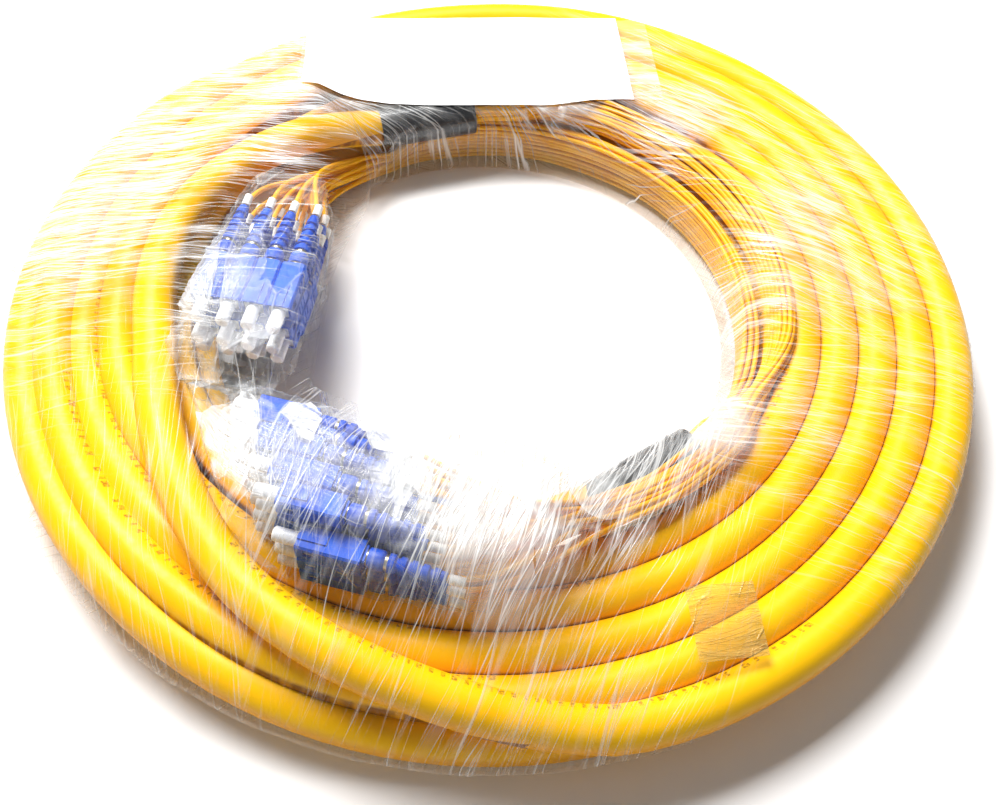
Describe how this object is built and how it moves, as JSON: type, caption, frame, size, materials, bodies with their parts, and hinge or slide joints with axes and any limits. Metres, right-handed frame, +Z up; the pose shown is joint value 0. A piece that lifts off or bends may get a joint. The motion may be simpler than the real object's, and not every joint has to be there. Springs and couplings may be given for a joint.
{
  "type": "fiber optic patch cord",
  "caption": "Coiled yellow fibre optic trunk cord in stretch film, with bagged bundles of blue push-pull plugs under dust caps at both ends.",
  "frame": {"origin": "centre of the coil on the surface that it lies on", "axes": "+Z is up along the coil's axis; +X and +Y lie in the plane of the coil, with the second bundle of plugs on the -Y side and the first on the -X side"},
  "size_m": [0.3796, 0.3796, 0.0627],
  "materials": {
    "cable_jacket": "semi-gloss PVC",
    "leg_jacket": "semi-gloss PVC",
    "stretch_film": "clear film",
    "bag_film": "clear film",
    "shrink_sleeve": "satin",
    "potting": "matte",
    "label_paper": "matte",
    "clear_tape": "gloss",
    "tan_tape": "wrinkled gloss",
    "blue_plastic": "satin",
    "blue_boot": "satin",
    "white_plastic": "translucent satin",
    "number_white": "matte",
    "frame_plastic": "satin",
    "nickel": "plated",
    "crimp_metal": "satin",
    "zirconia": "polished"
  },
  "bodies": {
    "coil": {"film_base": "stretch_film", "film_wrap": "stretch_film", "cable_coil": "cable_jacket", "cable_crossing": "cable_jacket", "cable_tail": "cable_jacket", "sleeve_a": "shrink_sleeve", "sleeve_b": "shrink_sleeve", "breakout_a": "potting", "breakout_b": "potting", "harness_a": "leg_jacket", "harness_b": "leg_jacket", "label": "label_paper", "label_tape": "clear_tape", "tape_patch": "tan_tape", "bag_1": "bag_film", "bag_2": "bag_film", "legs_1": "leg_jacket", "legs_2": "leg_jacket", "number_rings_1": "number_white", "number_rings_2": "number_white", "boots_1": "blue_boot", "boots_2": "blue_boot", "crimps_1": "crimp_metal", "crimps_2": "crimp_metal", "backbones_1": "nickel", "backbones_2": "nickel", "springs_1": "crimp_metal", "springs_2": "crimp_metal", "frames_1": "frame_plastic", "frames_2": "frame_plastic"},
    "caps_1a": {"caps_1a": "white_plastic"},
    "ferrules_1a": {"ferrules_1a": "zirconia"},
    "housings_1a": {"housings_1a": "blue_plastic"},
    "caps_1b": {"caps_1b": "white_plastic"},
    "ferrules_1b": {"ferrules_1b": "zirconia"},
    "housings_1b": {"housings_1b": "blue_plastic"},
    "caps_1c": {"caps_1c": "white_plastic"},
    "ferrules_1c": {"ferrules_1c": "zirconia"},
    "housings_1c": {"housings_1c": "blue_plastic"},
    "caps_1d": {"caps_1d": "white_plastic"},
    "ferrules_1d": {"ferrules_1d": "zirconia"},
    "housings_1d": {"housings_1d": "blue_plastic"},
    "caps_2a": {"caps_2a": "white_plastic"},
    "ferrules_2a": {"ferrules_2a": "zirconia"},
    "housings_2a": {"housings_2a": "blue_plastic"},
    "caps_2b": {"caps_2b": "white_plastic"},
    "ferrules_2b": {"ferrules_2b": "zirconia"},
    "housings_2b": {"housings_2b": "blue_plastic"},
    "caps_2c": {"caps_2c": "white_plastic"},
    "ferrules_2c": {"ferrules_2c": "zirconia"},
    "housings_2c": {"housings_2c": "blue_plastic"},
    "caps_2d": {"caps_2d": "white_plastic"},
    "ferrules_2d": {"ferrules_2d": "zirconia"},
    "housings_2d": {"housings_2d": "blue_plastic"}
  },
  "joints": [
    {"name": "cap_slide_1a", "type": "slide", "parent": "coil", "child": "caps_1a", "axis": [-0.1219, -0.9925, 0], "range_m": [0, 0.008]},
    {"name": "ferrule_slide_1a", "type": "slide", "parent": "coil", "child": "ferrules_1a", "axis": [0.1219, 0.9925, 0], "range_m": [0, 0.0008], "stiffness_N_per_m": 500},
    {"name": "housing_slide_1a", "type": "slide", "parent": "coil", "child": "housings_1a", "axis": [0.1219, 0.9925, 0], "range_m": [0, 0.0014]},
    {"name": "cap_slide_1b", "type": "slide", "parent": "coil", "child": "caps_1b", "axis": [-0.1219, -0.9925, 0], "range_m": [0, 0.008]},
    {"name": "ferrule_slide_1b", "type": "slide", "parent": "coil", "child": "ferrules_1b", "axis": [0.1219, 0.9925, 0], "range_m": [0, 0.0008], "stiffness_N_per_m": 500},
    {"name": "housing_slide_1b", "type": "slide", "parent": "coil", "child": "housings_1b", "axis": [0.1219, 0.9925, 0], "range_m": [0, 0.0014]},
    {"name": "cap_slide_1c", "type": "slide", "parent": "coil", "child": "caps_1c", "axis": [-0.1219, -0.9925, 0], "range_m": [0, 0.008]},
    {"name": "ferrule_slide_1c", "type": "slide", "parent": "coil", "child": "ferrules_1c", "axis": [0.1219, 0.9925, 0], "range_m": [0, 0.0008], "stiffness_N_per_m": 500},
    {"name": "housing_slide_1c", "type": "slide", "parent": "coil", "child": "housings_1c", "axis": [0.1219, 0.9925, 0], "range_m": [0, 0.0014]},
    {"name": "cap_slide_1d", "type": "slide", "parent": "coil", "child": "caps_1d", "axis": [-0.1219, -0.9925, 0], "range_m": [0, 0.008]},
    {"name": "ferrule_slide_1d", "type": "slide", "parent": "coil", "child": "ferrules_1d", "axis": [0.1219, 0.9925, 0], "range_m": [0, 0.0008], "stiffness_N_per_m": 500},
    {"name": "housing_slide_1d", "type": "slide", "parent": "coil", "child": "housings_1d", "axis": [0.1219, 0.9925, 0], "range_m": [0, 0.0014]},
    {"name": "cap_slide_2a", "type": "slide", "parent": "coil", "child": "caps_2a", "axis": [-0.9781, 0.2079, 0], "range_m": [0, 0.008]},
    {"name": "ferrule_slide_2a", "type": "slide", "parent": "coil", "child": "ferrules_2a", "axis": [0.9781, -0.2079, 0], "range_m": [0, 0.0008], "stiffness_N_per_m": 500},
    {"name": "housing_slide_2a", "type": "slide", "parent": "coil", "child": "housings_2a", "axis": [0.9781, -0.2079, 0], "range_m": [0, 0.0014]},
    {"name": "cap_slide_2b", "type": "slide", "parent": "coil", "child": "caps_2b", "axis": [-0.9781, 0.2079, 0], "range_m": [0, 0.008]},
    {"name": "ferrule_slide_2b", "type": "slide", "parent": "coil", "child": "ferrules_2b", "axis": [0.9781, -0.2079, 0], "range_m": [0, 0.0008], "stiffness_N_per_m": 500},
    {"name": "housing_slide_2b", "type": "slide", "parent": "coil", "child": "housings_2b", "axis": [0.9781, -0.2079, 0], "range_m": [0, 0.0014]},
    {"name": "cap_slide_2c", "type": "slide", "parent": "coil", "child": "caps_2c", "axis": [-0.9781, 0.2079, 0], "range_m": [0, 0.008]},
    {"name": "ferrule_slide_2c", "type": "slide", "parent": "coil", "child": "ferrules_2c", "axis": [0.9781, -0.2079, 0], "range_m": [0, 0.0008], "stiffness_N_per_m": 500},
    {"name": "housing_slide_2c", "type": "slide", "parent": "coil", "child": "housings_2c", "axis": [0.9781, -0.2079, 0], "range_m": [0, 0.0014]},
    {"name": "cap_slide_2d", "type": "slide", "parent": "coil", "child": "caps_2d", "axis": [-0.9781, 0.2079, 0], "range_m": [0, 0.008]},
    {"name": "ferrule_slide_2d", "type": "slide", "parent": "coil", "child": "ferrules_2d", "axis": [0.9781, -0.2079, 0], "range_m": [0, 0.0008], "stiffness_N_per_m": 500},
    {"name": "housing_slide_2d", "type": "slide", "parent": "coil", "child": "housings_2d", "axis": [0.9781, -0.2079, 0], "range_m": [0, 0.0014]}
  ]
}
